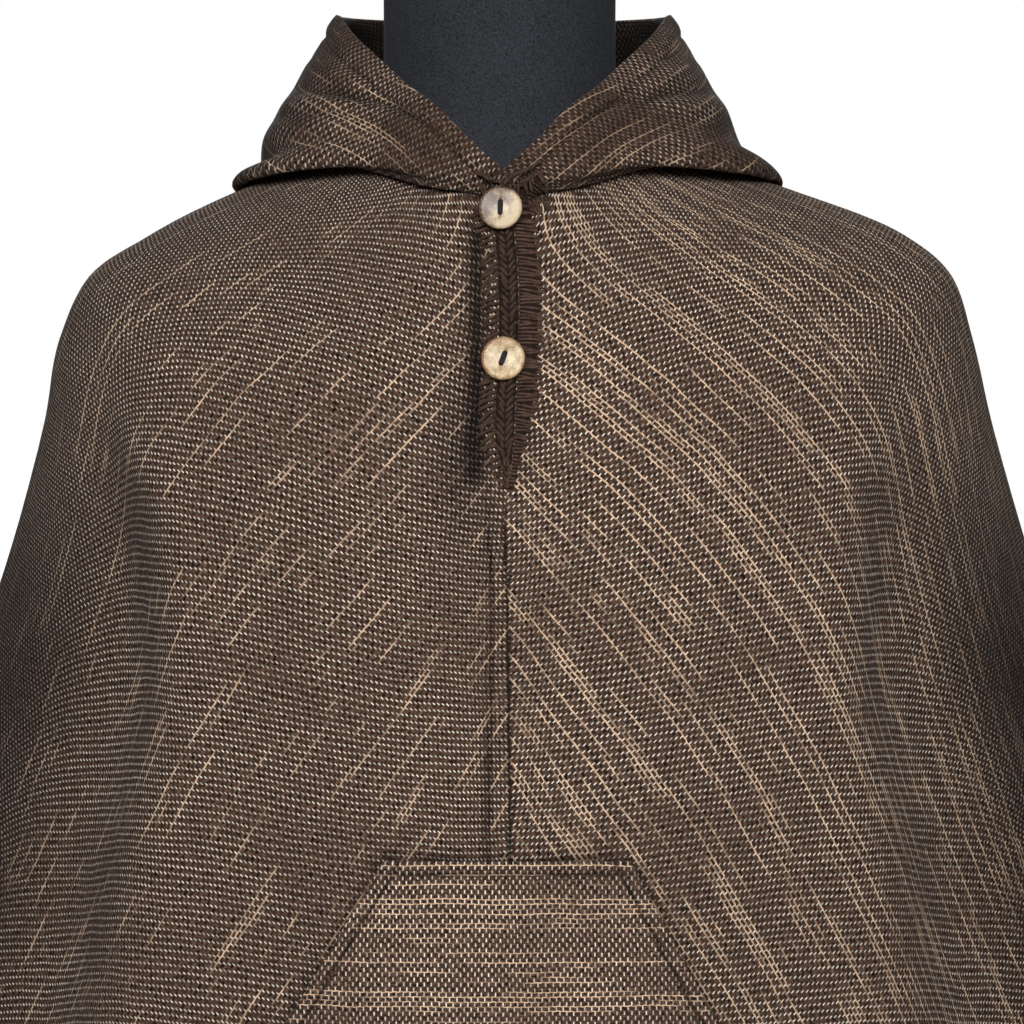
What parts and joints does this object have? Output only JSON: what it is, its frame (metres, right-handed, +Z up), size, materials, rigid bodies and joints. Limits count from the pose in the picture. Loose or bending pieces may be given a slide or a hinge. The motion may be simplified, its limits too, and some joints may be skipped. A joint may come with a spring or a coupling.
{
  "type": "andean poncho on a dress form",
  "caption": "Hooded woollen poncho with a front slit, two shell buttons and a kangaroo pocket, worn by a limbless dress form on a round stand.",
  "frame": {"origin": "centre of the stand's underside, on the floor", "axes": "+Z up, -Y is the front of the garment, +X is the wearer's left"},
  "size_m": [0.845, 0.3842, 1.405],
  "materials": {
    "cloth": "coarse hand-woven wool, dark brown with cream and tan yarns",
    "crochet": "dark brown crocheted wool",
    "coconut": "polished, mottled coconut shell",
    "form_fabric": "fine black jersey stretched smooth",
    "stand_metal": "satin black paint"
  },
  "bodies": {
    "root": {"body_left": "cloth", "body_right": "cloth", "hood": "cloth", "pocket": "cloth", "slit_braid": "crochet", "slit_blanket_edge": "crochet", "button_top": "coconut", "button_bottom": "coconut", "form_torso": "form_fabric", "form_pole": "stand_metal", "form_base": "stand_metal"}
  },
  "joints": []
}
